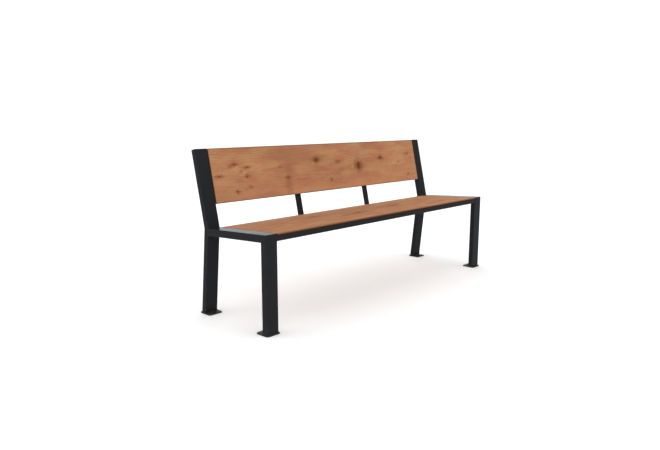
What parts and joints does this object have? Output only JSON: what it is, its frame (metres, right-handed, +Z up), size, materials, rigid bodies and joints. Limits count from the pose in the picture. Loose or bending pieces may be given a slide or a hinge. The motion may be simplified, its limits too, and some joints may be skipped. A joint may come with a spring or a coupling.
{
  "type": "park bench",
  "caption": "Bench with a leaning back: flat steel tube end frames on base plates, and one thin wood-faced board each for the seat and the back.",
  "frame": {"origin": "on the ground, in the middle of the bench's outline seen from above", "axes": "+X along the bench's length, +Y towards its back, +Z up; a sitter faces -Y, and left and right in the names are as seen from in front, so left is -X"},
  "size_m": [1.81, 0.5412, 0.805],
  "materials": {
    "black_powder_coat": "fine-textured matt powder coat, charcoal black, on steel",
    "wood_face_panel": "matt knotty pine face, warm reddish brown, on a dark brown core",
    "zinc_screws": "satin zinc plate"
  },
  "bodies": {
    "root": {"back_panel": "wood_face_panel", "front_seat_rail": "black_powder_coat", "left_back_support": "black_powder_coat", "left_back_upright": "black_powder_coat", "left_cross_member": "black_powder_coat", "left_cross_member_screw_1": "zinc_screws", "left_cross_member_screw_2": "zinc_screws", "left_front_base_plate": "black_powder_coat", "left_front_flange_bolt_1": "zinc_screws", "left_front_flange_bolt_2": "zinc_screws", "left_front_leg": "black_powder_coat", "left_front_rail_flange": "black_powder_coat", "left_lower_back_lug": "black_powder_coat", "left_lower_lug_screw": "zinc_screws", "left_lower_support_screw": "zinc_screws", "left_rear_base_plate": "black_powder_coat", "left_rear_flange_bolt_1": "zinc_screws", "left_rear_flange_bolt_2": "zinc_screws", "left_rear_leg": "black_powder_coat", "left_rear_rail_flange": "black_powder_coat", "left_seat_lug": "black_powder_coat", "left_seat_lug_screw_1": "zinc_screws", "left_seat_lug_screw_2": "zinc_screws", "left_side_rail": "black_powder_coat", "left_upper_back_lug": "black_powder_coat", "left_upper_lug_screw": "zinc_screws", "left_upper_support_screw": "zinc_screws", "left_upright_cap": "black_powder_coat", "rear_seat_rail": "black_powder_coat", "right_back_support": "black_powder_coat", "right_back_upright": "black_powder_coat", "right_cross_member": "black_powder_coat", "right_cross_member_screw_1": "zinc_screws", "right_cross_member_screw_2": "zinc_screws", "right_front_base_plate": "black_powder_coat", "right_front_flange_bolt_1": "zinc_screws", "right_front_flange_bolt_2": "zinc_screws", "right_front_leg": "black_powder_coat", "right_front_rail_flange": "black_powder_coat", "right_lower_back_lug": "black_powder_coat", "right_lower_lug_screw": "zinc_screws", "right_lower_support_screw": "zinc_screws", "right_rear_base_plate": "black_powder_coat", "right_rear_flange_bolt_1": "zinc_screws", "right_rear_flange_bolt_2": "zinc_screws", "right_rear_leg": "black_powder_coat", "right_rear_rail_flange": "black_powder_coat", "right_seat_lug": "black_powder_coat", "right_seat_lug_screw_1": "zinc_screws", "right_seat_lug_screw_2": "zinc_screws", "right_side_rail": "black_powder_coat", "right_upper_back_lug": "black_powder_coat", "right_upper_lug_screw": "zinc_screws", "right_upper_support_screw": "zinc_screws", "right_upright_cap": "black_powder_coat", "seat_panel": "wood_face_panel"}
  },
  "joints": []
}
